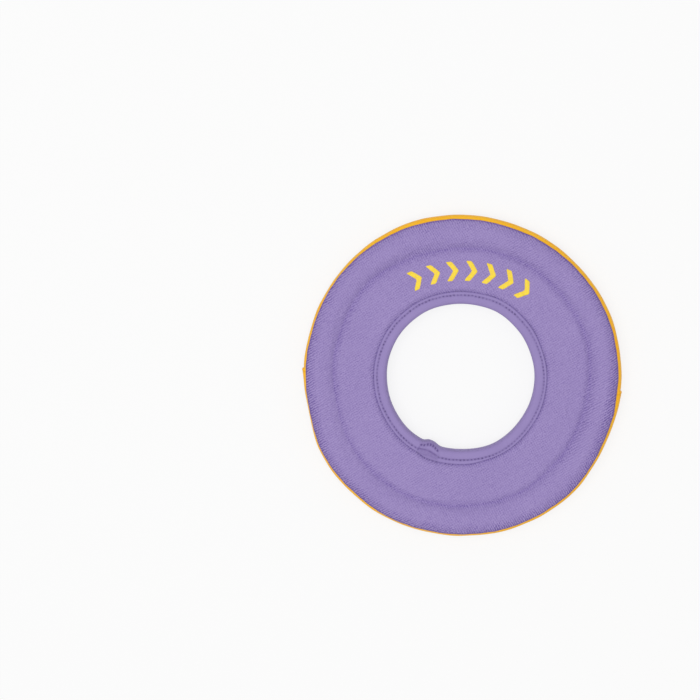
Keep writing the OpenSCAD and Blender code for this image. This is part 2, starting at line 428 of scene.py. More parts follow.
def band_section(theta):
    """The loop of the band: out and round from seam to seam, and back inside."""
    phi = np.linspace(-90, 90, 27) * math.pi / 180
    t = theta[:, None]
    root = seam_radius(t) - BAND_TUCK
    bulge = outer_radius(t) - root
    lump = joint_lump(t) * np.cos(phi)
    squash = 0.12 * MM * waves(t, (9, 14, 22, 35), 23) * np.cos(phi) ** 2
    half = BAND_HALF + 0.15 * MM
    outer_r = root + bulge * np.cos(phi) ** BAND_ROUND + lump + squash
    outer_z = half * np.sin(phi) + 0 * t
    inner = phi[::-3]
    inner_r = root - BAND_T + bulge * np.cos(inner) ** BAND_ROUND + 0 * t
    inner_z = (half - 0.2 * MM) * np.sin(inner) + 0 * t
    return np.hstack([outer_r, inner_r]), np.hstack([outer_z, inner_z])


def make_band(name, start, stop, material):
    """One length of the band, with more points towards its ends."""
    theta = np.linspace(start + BAND_GAP, stop - BAND_GAP, BAND_SPOKES)
    crowd = BAND_CROWDING * (stop - start)
    theta = theta - crowd * np.sin(TAU * (theta - start) / (stop - start))
    radius, height = band_section(theta)
    piece = sweep(name, radius, height, theta, whole_turn=False)
    place(piece, material, "edge_band", name)
    return piece


# -------- binding
NOSE = 3.0 * MM
CHANNEL = 0.12 * MM
PIT = 0.55 * MM
PIT_R = 0.55 * MM
JOIN_HALF = 6.6 * MM
JOIN_HOLES = 7
LAP_HALF = 8.0 * MM
LAP_LIFT = 0.5 * MM


def hand_of(stitch):
    """How deep a stitch's needle hole is drawn, and how far it strays across and along the row."""
    rng = np.random.default_rng(61)
    depth = rng.uniform(0.62, 1.18, STITCH_COUNT)
    astray = rng.uniform(-0.14, 0.14, STITCH_COUNT) * MM
    along = rng.uniform(-0.18, 0.18, STITCH_COUNT) * MM
    return depth[stitch], astray[stitch], along[stitch]


def join_dots():
    """Where the needle went through the lapped end: a bowed row of (angle, distance from the hole)."""
    along = np.linspace(-JOIN_HALF, JOIN_HALF - 1.0 * MM, JOIN_HOLES)
    inset = 1.4 * MM + 1.1 * MM * (along / JOIN_HALF) ** 2 + 0.6 * MM * bell(along + 4.2 * MM, 2 * MM)
    return [(LAP_ANGLE + a / (HOLE_R + i), i) for a, i in zip(along, inset)]


def lap_place(theta):
    """Distance along the tape from the middle of the lap, to the right as the picture shows it."""
    return turn_between(theta, LAP_ANGLE) * STITCH_R


def lap_mask(theta, inset):
    """1 on the lapped end: a crisp folded edge on the left, a softer one on the right."""
    x = lap_place(theta)
    corner = 2.2 * MM * bell(inset, 3 * MM)
    left = smooth(-x, LAP_HALF - corner - 0.6 * MM, LAP_HALF - corner)
    right = smooth(x, 6.8 * MM, 9.2 * MM)
    return (1 - left) * (1 - right) * smooth(inset, 0.3 * MM, 3.0 * MM)


def needle_holes(theta, inset, side):
    """1 where the needle went through the tape, less in the groove between, fading under the lap."""
    across = inset - (STITCH_R - HOLE_R)
    turn = theta * STITCH_COUNT / TAU + 0.5
    depth, astray, along = hand_of(np.floor(turn).astype(int) % STITCH_COUNT)
    away = (np.mod(turn, 1) - 0.5) * TAU / STITCH_COUNT * STITCH_R - along
    across_hole = 1.12 * (across - astray)
    stray = depth * (0.78 + 0.10 * waves(theta, (9, 23, 51), 43) - 0.16 * toward(theta, -20, 45))
    stray = stray * (1 - 0.3 * toward(theta, 30, 14)) * (1 - 0.2 * toward(theta, -32, 14))
    groove = 0.12 + 0.26 * toward(theta, 274, 18) + 0.22 * toward(theta, 225, 12)
    holes = bell(np.hypot(0.66 * away, across_hole), PIT_R) * stray + groove * bell(across, 0.6 * MM)
    if side < 0:
        return holes
    holes = holes * (0.2 + 0.8 * smooth(np.abs(lap_place(theta)), 7.0 * MM, 9.0 * MM))
    for angle, dot in join_dots():
        distance = np.hypot(turn_between(theta, angle) * (HOLE_R + dot), 1.3 * (inset - dot))
        holes = np.maximum(holes, 1.3 * bell(distance, 1.4 * PIT_R))
    return holes


def lap_folds(theta, inset):
    """1 along the creases of the lapped end: its left fold, and two that run under the bowed row."""
    x = lap_place(theta)
    left = smooth(inset, 3.0 * MM, 4.5 * MM) * (1 - smooth(inset, 6.5 * MM, 8 * MM))
    left = left * bell(x + 7.6 * MM, 0.5 * MM)
    inside = 1 - smooth(np.abs(x), 6.0 * MM, 8.0 * MM)
    broken = 0.75 + 0.25 * np.sin(x / (0.9 * MM)) * np.cos(x / (2.3 * MM))
    upper = bell(inset - 5.1 * MM + 0.5 * MM * np.cos(x / (3.2 * MM)), 0.5 * MM) * inside * broken
    lower = bell(inset - 7.4 * MM + 0.4 * MM * np.sin(x / (2.1 * MM)), 0.45 * MM) * inside * (1.2 - broken)
    return np.clip(0.45 * left + 0.9 * upper + 0.5 * lower, 0, 1)


def tape_bump(theta, inset, side):
    """Height of the tape's surface over its flat lie, at a distance from the edge of the hole."""
    stitch_inset = STITCH_R - HOLE_R
    across = inset - stitch_inset
    channel = -CHANNEL * bell(across, 0.9 * MM)
    pits = -PIT * needle_holes(theta, inset, side)
    inner_puff = 0.30 * MM * np.sin(math.pi * np.clip(inset / (stitch_inset - 0.6 * MM), 0, 1)) ** 0.8
    outer_puff = 0.12 * MM * bell(across - 1.9 * MM, 0.9 * MM)
    gathers = 0.07 * MM * waves(theta, (72, 97, 121), 31 + side) * bell(across, 3 * MM)
    bump = channel + pits + inner_puff + outer_puff + gathers
    folds = lap_folds(theta, inset) if side > 0 else 0
    return bump + LAP_LIFT * lap_mask(theta, inset) - LAP_LIFT * folds


def tape_shade(theta, inset, side):
    """Painted shade on the tape: in its needle holes and the groove along them, in the lap's folds, on the
    lapped end and at its tucked outer edge.
    """
    width = tape_edge(theta)
    # Painted shade along the tape's tucked outer edge.
    edge = smooth(inset, width - 0.45 * MM, width) * 1.1 * tuck_shade_depth(theta)
    folds = lap_folds(theta, inset) if side > 0 else 0
    # The lapped end takes a little painted shade.
    lap_pad_shade = 0.17 * lap_mask(theta, inset) * smooth(inset, 3.0 * MM, 5.0 * MM)
    return np.clip(np.maximum(needle_holes(theta, inset, side), edge) + 0.7 * folds + lap_pad_shade, 0, 1)


def hole_lump(theta):
    """How far the tape's turned edge stands into the hole: most where it is lapped, unevenly elsewhere."""
    x = turn_between(theta, LAP_ANGLE - 0.02) * HOLE_R
    lap = 2.2 * MM * np.exp(-np.abs(x / np.where(x < 0, 4.0 * MM, 5.8 * MM)) ** 3)
    return lap + 0.3 * MM - bulges(theta, HOLE_EDGE_BULGES)


def tape_edge(theta):
    """Width of the tape on a face. It is wider for a stretch to the right of the lap."""
    beyond_row = 2.3 * MM - 0.1 * MM * np.cos(theta) + 0.07 * MM * waves(theta, (3, 4, 7, 12), 37)
    step = 1.25 * MM * smooth(lap_place(theta), -7 * MM, 0)
    step = step * (1 - smooth(turn_between(theta, LAP_ANGLE), 0.45, 0.75))
    return STITCH_R - HOLE_R + beyond_row + step + bulges(theta, TAPE_BULGES)


def tape_section(theta):
    """The loop of the tape: over the top face, round the hole's edge, under the bottom face, and back."""
    t = theta[:, None]
    width = tape_edge(t)
    spans = ((1, 0.72, 9), (0.69, 0.24, 14), (0.18, 0.05, 3))
    shares = np.concatenate([np.linspace(*span) for span in spans])
    turn = np.linspace(0, math.pi / 2, 8)
    flat_inset = NOSE + (width - NOSE) * shares
    top_inset = np.hstack([flat_inset, (NOSE - NOSE * np.sin(turn)) + 0 * t])
    flat = np.full_like(flat_inset, TAPE_HALF)
    edge = 0.55 * MM * bell(width - flat_inset, 0.45 * MM)
    top_half = np.hstack([flat - edge, TAPE_HALF - NOSE + NOSE * np.cos(turn) + 0 * t])
    lean = np.concatenate([np.zeros(len(shares)), turn])
    lump = hole_lump(t) * bell(top_inset, 4 * MM)
    layers = []
    shades = []
    for side in (1, -1):
        bump = tape_bump(t, top_inset, side)
        shades.append(tape_shade(t, top_inset, side))
        r = HOLE_R + top_inset - bump * np.sin(lean) - lump
        z = side * (top_half + bump * np.cos(lean))
        layers.append((r + hole_shift(t), z))
    bore = np.linspace(1, -1, 7)[1:-1] * (TAPE_HALF - NOSE)
    swell = 0.25 * MM * np.cos(bore / (TAPE_HALF - NOSE) * math.pi / 2)
    bore_r = HOLE_R - swell - hole_lump(t) + hole_shift(t)
    radius = np.hstack([layers[0][0], bore_r, layers[1][0][:, ::-1]])
    height = np.hstack([layers[0][1], bore + 0 * t, layers[1][1][:, ::-1]])
    core = HOLE_R + hole_shift(t)
    inner_turn = np.linspace(0, math.pi / 2, 5)
    inner_nose = NOSE - TAPE_T
    inside_r = np.hstack([core + width - 0.05 * MM, core + NOSE - inner_nose * np.sin(inner_turn)])
    inside_z = np.hstack([0 * t + BOUND_HALF, TAPE_HALF - NOSE + inner_nose * np.cos(inner_turn) + 0 * t])
    radius = np.hstack([radius, inside_r, inside_r[:, ::-1]])
    height = np.hstack([height, -inside_z, inside_z[:, ::-1]])
    shade = np.hstack([shades[0], 0 * bore_r, shades[1][:, ::-1], 0 * inside_r, 0 * inside_r])
    return radius[:, ::-1], height[:, ::-1], shade[:, ::-1]


def make_binding(material):
    theta = even_turn(8 * STITCH_COUNT)
    radius, height, shade = tape_section(theta)
    piece = sweep("hole_binding", radius, height, theta, marks={"shade": shade})
    return place(piece, material, "binding_tape", "hole_binding")


# -------- thread
THREAD_SIDES = 8


def thread_tubes(name, runs, material):
    """The node's stitches as one object of closed tubes, each along a run of as many points."""
    count = len(runs[0])
    ring = even_turn(THREAD_SIDES)[:, None]
    i, j = np.indices((count - 1, THREAD_SIDES)).reshape(2, -1)
    this, after, j_next = i * THREAD_SIDES, (i + 1) * THREAD_SIDES, (j + 1) % THREAD_SIDES
    quads = np.stack([this + j, this + j_next, after + j_next, after + j], axis=1)
    ends = np.stack([np.arange(THREAD_SIDES)[::-1], np.arange(THREAD_SIDES) + (count - 1) * THREAD_SIDES])
    thick = THREAD_R * np.sqrt(np.clip(1 - np.linspace(-0.93, 0.93, count) ** 4, 0, 1))
    points, faces, uvs = [], [], []
    for number, run in enumerate(runs):
        ahead = np.gradient(run, axis=0)
        ahead /= np.linalg.norm(ahead, axis=1, keepdims=True)
        across = np.cross(ahead, (0, 0, 1))
        across /= np.linalg.norm(across, axis=1, keepdims=True)
        up = np.cross(across, ahead)
        offset = np.cos(ring) * across[:, None] + 0.8 * np.sin(ring) * up[:, None]
        points.append((run[:, None] + thick[:, None, None] * offset).reshape(-1, 3))
        first = number * count * THREAD_SIDES
        faces += (quads + first).tolist() + (ends + first).tolist()
        length = np.concatenate([[0], np.cumsum(np.linalg.norm(np.diff(run, axis=0), axis=1))])
        corners = around((THREAD_R * j, length[i]), (THREAD_R * (j + 1), length[i + 1]))
        uvs += [corners[..., ::-1].reshape(-1, 2), np.zeros((2 * THREAD_SIDES, 2))]
    piece = mesh_object(name, np.vstack(points), faces, np.vstack(uvs))
    return place(piece, material, "cover_thread", name)


def tape_surface(theta, inset, side):
    """A point on the tape's flat part."""
    r = HOLE_R + inset + hole_shift(theta) - hole_lump(theta) * bell(inset, 4 * MM)
    z = MID_Z + side * (TAPE_HALF + tape_bump(theta, inset, side))
    return r * np.cos(theta), r * np.sin(theta), z


def make_binding_stitches(name, side, material):
    """A stitch from each needle hole to the next, dipping into both."""
    step = TAU / STITCH_COUNT
    share = np.linspace(-0.5, 0.5, 7)
    dip = 0.38 * MM * np.abs(2 * share) ** 3 - 0.05 * MM
    rng = np.random.default_rng(41 + side)
    runs = []
    for start in even_turn(STITCH_COUNT):
        theta = start + step * (0.5 + 0.86 * share)
        inset = STITCH_R - HOLE_R + rng.normal(0, 0.05) * MM + 0.05 * MM * share
        x, y, z = tape_surface(theta, inset + 0 * theta, side)
        middle = tape_surface(np.array([start + step / 2]), np.array([inset[3]]), side)[2][0]
        runs.append(np.stack([x, y, middle - side * (0.02 * MM + dip)], axis=1))
    return thread_tubes(name, runs, material)


def make_join_stitches(material):
    """Back-stitches on the lapped end: along the bowed row on top, and on a plain row below."""
    dots = join_dots()
    share = np.linspace(0.16, 0.84, 6)
    runs = []
    for (a0, i0), (a1, i1) in zip(dots, dots[1:]):
        theta, inset = a0 + (a1 - a0) * share, i0 + (i1 - i0) * share
        for side in (1, -1):
            x, y, z = tape_surface(theta, inset, side)
            level = z[len(z) // 2] + side * (0.05 * MM - 0.35 * MM * np.abs(2 * share - 1) ** 3)
            nose = NOSE - np.sqrt(np.maximum(NOSE**2 - np.maximum(NOSE - inset, 0) ** 2, 0))
            runs.append(np.stack([x, y, level - side * nose], axis=1))
    return thread_tubes("binding_join_stitch", runs, material)


# -------- printed marks
MARK_H = 14.4 * MM
MARK_IN_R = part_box("print_marks")[1][1] - MARK_H
MARK_STROKE = 4.2 * MM
MARK_LEAD = 5.0 * MM
MARK_COUNT = 7
MARK_STEP = math.radians(10)
MARK_ANGLE = math.radians(85)
MARK_ACROSS, MARK_ALONG = 9, 33
FILM_T = 0.14 * MM
FILM_DEPTH = 0.15 * MM


def film_faces():
    """The faces of one mark: its upper and lower grids of points, and the border that joins them."""
    size = MARK_ALONG * MARK_ACROSS
    number = np.arange(size).reshape(MARK_ALONG, MARK_ACROSS)
    faces = []
    for a, b in zip(number[:-1, :-1].ravel(), number[1:, :-1].ravel()):
        faces.append([a, b, b + 1, a + 1])
        faces.append([a + size, a + size + 1, b + size + 1, b + size])
    sides = (number[:, 0], number[-1, 1:], number[-2::-1, -1], number[0, -2:0:-1])
    border = np.concatenate(sides)
    for a, b in zip(border, np.roll(border, -1)):
        faces.append([a, a + size, b + size, b])
    return np.array(faces)


def make_marks(settled, material):
    """Chevrons of thin film that follow the cover, with softened corners and slightly ragged edges."""
    rng = np.random.default_rng(53)
    share = np.linspace(0, 1, MARK_ALONG)[:, None]
    lead = MARK_LEAD * (1 - np.sqrt((2 * share - 1) ** 2 + 0.004))
    ends = np.minimum(share, 1 - share) * MARK_H
    trim = 0.5 * MM * (1 - smooth(ends, 0, 0.7 * MM))
    film = np.full((MARK_ALONG, MARK_ACROSS), 0.35 * FILM_T)
    film[1:-1, 1:-1] = FILM_T
    points = []
    for k in range(MARK_COUNT):
        angle = MARK_ANGLE + (k - (MARK_COUNT - 1) / 2) * MARK_STEP
        ragged = 0.06 * MM * rng.normal(size=(2, MARK_ALONG, 1))
        low = trim + ragged[0]
        high = MARK_STROKE - trim + ragged[1]
        x = MARK_IN_R + MARK_H * share
        y = low + (high - low) * np.linspace(0, 1, MARK_ACROSS) - lead
        r, theta = np.hypot(x, y), angle + np.arctan2(y, x)
        radius = cover_radius(r, theta)
        for layer in (film, -FILM_DEPTH):
            z = MID_Z + cover_height(r, theta, 1, settled) + layer
            points.append(np.stack([radius * np.cos(theta), radius * np.sin(theta), z], axis=-1))
    one = film_faces()
    faces = np.vstack([one + 2 * k * MARK_ALONG * MARK_ACROSS for k in range(MARK_COUNT)])
    piece = mesh_object("print_marks", np.array(points).reshape(-1, 3), faces)
    return place(piece, material, "print_ink", "print_marks")


# -------- foam
FOAM_CORNER = 1.6 * MM
FOAM_CLEARANCE = 0.35 * MM


def make_foam(name, low, high, material):
    """A foam ring under both covers, with softened corners."""
    theta = even_turn(180)
    r = np.linspace(low, high, 24)
    inset = np.minimum(r - low, high - r)
    round_off = FOAM_CORNER - np.sqrt(FOAM_CORNER**2 - np.clip(FOAM_CORNER - inset, 0, FOAM_CORNER) ** 2)
    half = face(r) - FABRIC_T - FOAM_CLEARANCE - round_off
    radius = np.concatenate([r, r[::-1]])
    height = np.concatenate([-half, half[::-1]])
    t = theta[:, None]
    piece = sweep(name, cover_radius(radius + 0 * t, t), height + 0 * t, theta)
    place(piece, material, "foam", name)
    return piece


# -------- settling of the covers
SETTLE_CAP = 0.7 * MM
SETTLE_FRAMES = 20
SHEET_RINGS, SHEET_SPOKES = 27, 300
FOAM_GRIP = 0.35
CLOTH = {
    "quality": 4,
    "mass": 0.3,
    "tension_stiffness": 12,
    "compression_stiffness": 12,
    "bending_stiffness": 0.4,
    "vertex_group_mass": "held",
    "pin_stiffness": 0.6,
    "shrink_min": -0.03,
    "shrink_max": -0.03,
    "use_pressure": True,
    "uniform_pressure_force": 4,
}


def settle_cover(seed):
    """Lets a slightly oversize sheet of cloth settle on the foam under pressure, and gives its movement.

    The sheet is held at the binding and at the edge seam, more loosely on the foam between.
    """
    r = np.linspace(TAPE_R, SEAM_R, SHEET_RINGS)
    theta = even_turn(SHEET_SPOKES)
    rr, tt = np.meshgrid(r, theta)
    rng = np.random.default_rng(seed)
    height = face(rr) + rng.normal(0, 0.04, rr.shape) * MM
    points = np.stack([rr * np.cos(tt), rr * np.sin(tt), height], axis=-1).reshape(-1, 3)
    i, j = np.indices((SHEET_SPOKES, SHEET_RINGS - 1)).reshape(2, -1)
    this, after = i * SHEET_RINGS + j, (i + 1) % SHEET_SPOKES * SHEET_RINGS + j
    sheet = mesh_object("settling_sheet", points, np.stack([this, this + 1, after + 1, after], axis=1))
    held = sheet.vertex_groups.new(name="held")
    grip = np.full(rr.shape, FOAM_GRIP)
    grip[:, [0, -1]] = 1
    for index, weight in enumerate(grip.ravel()):
        held.add([index], float(weight), "REPLACE")
    cloth = sheet.modifiers.new("cloth", "CLOTH")
    for setting, value in CLOTH.items():
        setattr(cloth.settings, setting, value)
    cloth.settings.effector_weights.gravity = 0
    cloth.point_cache.frame_end = SETTLE_FRAMES
    scene = bpy.context.scene
    for number in range(1, SETTLE_FRAMES + 1):
        scene.frame_set(number)
    settled = sheet.evaluated_get(bpy.context.evaluated_depsgraph_get()).to_mesh()
    found = np.zeros(3 * len(settled.vertices))
    settled.vertices.foreach_get("co", found)
    moved = (found.reshape(-1, 3)[:, 2] - face(rr).ravel()).reshape(rr.shape)
    scene.frame_set(1)
    bpy.data.objects.remove(sheet)
    moved = SETTLE_CAP * np.tanh(moved / SETTLE_CAP)
    moved = np.vstack([moved, moved[:1]])

    def lookup(radius, angle):
        x = np.clip((radius - TAPE_R) / (SEAM_R - TAPE_R), 0, 1) * (SHEET_RINGS - 1)
        y = np.mod(angle, TAU) / TAU * SHEET_SPOKES
        x, y = np.broadcast_arrays(x, y)
        x0 = np.minimum(x.astype(int), SHEET_RINGS - 2)
        y0 = np.minimum(y.astype(int), SHEET_SPOKES - 1)
        fx, fy = x - x0, y - y0
        low = moved[y0, x0] * (1 - fx) + moved[y0, x0 + 1] * fx
        high = moved[y0 + 1, x0] * (1 - fx) + moved[y0 + 1, x0 + 1] * fx
        return low * (1 - fy) + high * fy

    return lookup


# -------- materials
def linear(red, green, blue):
    """A colour as a picture holds it, 0 to 255, as Blender wants it."""
    def one(value):
        value = value / 255
        return value / 12.92 if value <= 0.04045 else ((value + 0.055) / 1.055) ** 2.4
    return one(red), one(green), one(blue), 1.0


class Nodes:
    """A short way to write a material's nodes."""

    def __init__(self, name, rough):
        self.material = bpy.data.materials.new(name)
        self.material.use_nodes = True
        self.tree = self.material.node_tree
        self.shader = self.tree.nodes["Principled BSDF"]
        self.shader.inputs["Roughness"].default_value = rough

    def add(self, kind, **settings):
        node = self.tree.nodes.new(kind)
        for key, value in settings.items():
            setattr(node, key, value)
        return node

    def join(self, source, target):
        self.tree.links.new(source, target)

    def feed(self, target, value):
        """A socket is joined, and a number is set."""
        if hasattr(value, "is_output"):
            self.join(value, target)
        else:
            target.default_value = value

    def math(self, operation, *values):
        node = self.add("ShaderNodeMath", operation=operation)
        for socket, value in zip(node.inputs, values):
            self.feed(socket, value)
        return node.outputs[0]

    def place(self):
        """Where the point lies, in metres."""
        return self.add("ShaderNodeTexCoord").outputs["Object"]

    def along(self):
        """The point's place on the piece's own surface, in metres: along the run, and across it."""
        return self.add("ShaderNodeUVMap", uv_map="along").outputs["UV"]

    def mark(self, name):
        """A value that the mesh carries at its points."""
        return self.add("ShaderNodeAttribute", attribute_name=name).outputs["Fac"]

    def noise(self, vector, scale, detail=2.0, rough=0.5):
        node = self.add("ShaderNodeTexNoise")
        self.join(vector, node.inputs["Vector"])
        node.inputs["Scale"].default_value = scale
        node.inputs["Detail"].default_value = detail
        node.inputs["Roughness"].default_value = rough
        return node.outputs["Fac"]

    def range(self, value, from_low, from_high, to_low, to_high):
        node = self.add("ShaderNodeMapRange")
        self.join(value, node.inputs["Value"])
        for name, number in (("From Min", from_low), ("From Max", from_high),
                             ("To Min", to_low), ("To Max", to_high)):
            node.inputs[name].default_value = number
        return node.outputs["Result"]

    def mix(self, share, low, high):
        node = self.add("ShaderNodeMix", data_type="RGBA")
        self.feed(node.inputs["Factor"], share)
        self.feed(node.inputs["A"], low)
        self.feed(node.inputs["B"], high)
        return node.outputs["Result"]

    def axes(self, vector):
        parts = self.add("ShaderNodeSeparateXYZ")
        self.join(vector, parts.inputs[0])
        return parts.outputs[0], parts.outputs[1]

    def radius(self, vector):
        """Distance from the ring's axis."""
        x, y = self.axes(vector)
        square = self.math("MULTIPLY", x, x)
        square = self.math("MULTIPLY_ADD", y, y, square)
        return self.math("SQRT", square)

    def reach(self, vector, angle, scale=1.0):
        """How far the point lies in this direction, times the scale."""
        x, y = self.axes(vector)
        across = self.math("MULTIPLY", x, math.cos(angle) * scale)
        return self.math("ADD", across, self.math("MULTIPLY", y, math.sin(angle) * scale))

    def ribs(self, vector, angle, pitch, bend):
        """0 to 1, in ribs of this pitch that cross the direction angle, pushed aside by bend."""
        phase = self.math("ADD", self.reach(vector, angle, TAU / pitch), bend)
        return self.math("MULTIPLY_ADD", self.math("SINE", phase), 0.5, 0.5)

    def finish(self, colour, height, depth, strength, gloss=0.5, sheen=False):
        """Gives the shader its colour, its relief and its gloss, and to fabric its sheen."""
        bump = self.add("ShaderNodeBump")
        bump.inputs["Strength"].default_value = strength
        bump.inputs["Distance"].default_value = depth
        self.join(height, bump.inputs["Height"])
        inputs = self.shader.inputs
        self.join(bump.outputs["Normal"], inputs["Normal"])
        self.join(colour, inputs["Base Color"])
        inputs["Specular IOR Level"].default_value = gloss
        if sheen:
            inputs["Sheen Weight"].default_value = 0.12
            inputs["Sheen Roughness"].default_value = 0.45
        return self.material


RIB_ANGLE = math.radians(32)
RIB_TURN = math.radians(90)
CROSS_SKEW = 0.03
RIB_PITCH = 1.60 * MM
CROSS_PITCH = 1.57 * MM
PULL_ANGLE = math.radians(16)
PULL_LEAN = 0.26
RIM_LEAN = 0.46
RIM_PULL = 0.38
RIM_MIDDLE = CROWN_R - 4.3 * MM
RIM_REACH = 7.9 * MM
EVEN_SHARE = 0.62


def rib_share(nodes, vector, crowd):
    """The share of the rising ribs in the knit, the falling ones having the rest.

    The fabric is pulled more one way than the other, so each way shows more on two sides of the ring.
    That tells most where the fabric crowds, and on the rim the two sides lie a little further round.
    """
    radius = nodes.radius(vector)
    from_crown = nodes.math("DIVIDE", nodes.math("SUBTRACT", radius, RIM_MIDDLE), RIM_REACH)
    square = nodes.math("MULTIPLY", from_crown, from_crown)
    on_rim = nodes.math("EXPONENT", nodes.math("MULTIPLY", square, -1.0))
    outward = nodes.math("DIVIDE", nodes.reach(vector, PULL_ANGLE), radius)
    outward = nodes.math("SUBTRACT", outward, PULL_LEAN)
    outward = nodes.math("MULTIPLY_ADD", on_rim, RIM_LEAN, outward)
    outward = nodes.math("MULTIPLY", outward, outward)
    pulled = nodes.math("SUBTRACT", nodes.range(outward, 0.0, 0.6, 0.0, 1.0), EVEN_SHARE)
    pull = nodes.math("MAXIMUM", crowd, nodes.math("MULTIPLY", on_rim, RIM_PULL))
    pull = nodes.range(pull, 0.0, 0.8, 0.15, 1.0)
    return nodes.math("MULTIPLY_ADD", pulled, pull, EVEN_SHARE)


def knit(nodes, vector, crowd):
    """Height of the cover's fine ribs, 0 to 1: two crossing sets, broken by strays, flecks and yarn."""
    bend = nodes.range(nodes.noise(vector, 240), 0.2, 0.8, -1.9, 1.9)
    kink = nodes.range(nodes.noise(vector, 700, 1), 0.2, 0.8, -1.7, 1.7)
    bend = nodes.math("ADD", bend, kink)
    rising = nodes.ribs(vector, RIB_ANGLE - RIB_TURN, RIB_PITCH, bend)
    falling = nodes.ribs(vector, RIB_ANGLE - CROSS_SKEW, CROSS_PITCH, bend)
    share = rib_share(nodes, vector, crowd)
    rest = nodes.math("SUBTRACT", 1.0, share)
    ribs = nodes.math("ADD", nodes.math("MULTIPLY", rising, share), nodes.math("MULTIPLY", falling, rest))
    yarn = nodes.noise(vector, 2600, 2, 0.6)
    fleck = nodes.range(nodes.noise(vector, 1250, 2, 0.6), 0.32, 0.68, 0.0, 1.0)
    height = nodes.math("MULTIPLY_ADD", ribs, 0.5, nodes.math("MULTIPLY", yarn, 0.1))
    return nodes.math("MULTIPLY_ADD", fleck, 0.4, height)


def crowding_and_shade(nodes, vector):
    """How closely the ribs crowd, with the painted shade that goes with it, as the mesh has it from
    cover_crowd_and_shade, a little uneven in patches.
    """
    patch = nodes.range(nodes.noise(vector, 60), 0.3, 0.7, -0.08, 0.12)
    return nodes.math("ADD", nodes.mark("crowd"), patch)


def cover_material():
    """Matt knit: two crossing sets of fine ribs. Their gaps are darker, partly as painted shade, with
    painted shade where the fabric crowds, in the tucks, in the seam and along the fold.
    """
    nodes = Nodes("cover_fabric", 0.88)
    spot = nodes.place()
    crowd = crowding_and_shade(nodes, spot)
    height = knit(nodes, spot, crowd)
    patchy = nodes.range(nodes.noise(spot, 130), 0.38, 0.58, 0.6, 1.0)
    # Darker gaps between the ribs, partly painted shade between them, stronger where the crowd mark is
    # high.
    contrast = nodes.math("MULTIPLY", nodes.range(crowd, 0.0, 2.0, 0.82, 1.7), patchy)
    gaps = nodes.math("MULTIPLY", nodes.range(height, 0.15, 0.85, 0.5, -0.5), contrast)
    # Painted shade from the crowd mark: in the fold, beside the tape and towards the edge.
    gaps = nodes.math("ADD", gaps, nodes.range(crowd, 0.0, 2.0, 0.21, 0.53))
    cloud = nodes.range(nodes.noise(spot, 38, 3), 0.3, 0.7, -0.04, 0.04)
    # Painted shade from the shade mark: beside the tape, in the seam's ditch and along the fold.
    tucks = nodes.math("MULTIPLY", nodes.mark("shade"), 0.8)
    shade = nodes.math("ADD", nodes.math("ADD", gaps, cloud), tucks)
    colour = nodes.mix(shade, linear(165, 147.5, 200), linear(108, 87, 156))
    return nodes.finish(colour, height, 0.16 * MM, 0.5, gloss=0.25, sheen=True)


def tape_material():
    """Close woven tape: very fine cross ribs, with painted shade where the needle went through, in the
    lap's folds and at its tucked outer edge.
    """
    nodes = Nodes("binding_tape", 0.82)
    along = nodes.along()
    spot = nodes.place()
    stray = nodes.range(nodes.noise(spot, 400), 0.2, 0.8, -0.8, 0.8)
    warp = nodes.ribs(along, 0.0, 0.55 * MM, stray)
    weft = nodes.ribs(along, math.radians(90), 0.5 * MM, stray)
    weave = nodes.math("MULTIPLY", nodes.math("ADD", warp, weft), 0.5)
    yarn = nodes.noise(spot, 3000, 2, 0.6)
    height = nodes.math("ADD", nodes.math("MULTIPLY", weave, 0.6), nodes.math("MULTIPLY", yarn, 0.3))
    cloud = nodes.range(nodes.noise(spot, 60, 3), 0.3, 0.7, 0.0, 0.25)
    shade = nodes.math("ADD", nodes.range(height, 0.1, 0.9, 0.1, 0.75), cloud)
    colour = nodes.mix(shade, linear(146, 129, 183), linear(160, 143, 197))
    # Painted shade from the shade mark, towards a dark purple.
    colour = nodes.mix(nodes.mark("shade"), colour, linear(96, 76, 136))
    return nodes.finish(colour, height, 0.07 * MM, 0.8, gloss=0.25, sheen=True)


def thread_material(name, light, dark, wound=True):
    """Two-ply sewing thread, its plies winding round it, or only uneven where its mesh has no run."""
    nodes = Nodes(name, 0.6)
    if wound:
        plies = nodes.ribs(nodes.along(), math.radians(40), 0.35 * MM, 0.0)
    else:
        plies = nodes.noise(nodes.place(), 2400)
    return nodes.finish(nodes.mix(plies, dark, light), plies, 0.05 * MM, 0.7)


def band_material():
    """Smooth matt rubbery strip, faintly mottled and grained."""
    nodes = Nodes("edge_band", 0.5)
    spot = nodes.place()
    grain = nodes.noise(spot, 1800)
    nodes.join(nodes.range(grain, 0.3, 0.7, 0.46, 0.60), nodes.shader.inputs["Roughness"])
    cloud = nodes.range(nodes.noise(spot, 45, 3), 0.3, 0.7, 0.0, 1.0)
    colour = nodes.mix(cloud, linear(254, 184, 14), linear(255, 192, 26))
    return nodes.finish(colour, grain, 0.03 * MM, 0.6, gloss=0.4)


def print_material():
    """Printed film that lets the knit under it show as relief, thinner in specks."""
    nodes = Nodes("print_ink", 0.55)
    spot = nodes.place()
    height = knit(nodes, spot, crowding_and_shade(nodes, spot))
    cloud = nodes.range(nodes.noise(spot, 500, 3, 0.6), 0.35, 0.65, 0.0, 1.0)
    colour = nodes.mix(cloud, linear(250, 214, 72), linear(255, 226, 48))
    gaps = nodes.range(height, 0.15, 0.42, 0.35, 0.0)
    colour = nodes.mix(gaps, colour, linear(214, 178, 110))
    return nodes.finish(colour, height, 0.10 * MM, 0.7, gloss=0.35)


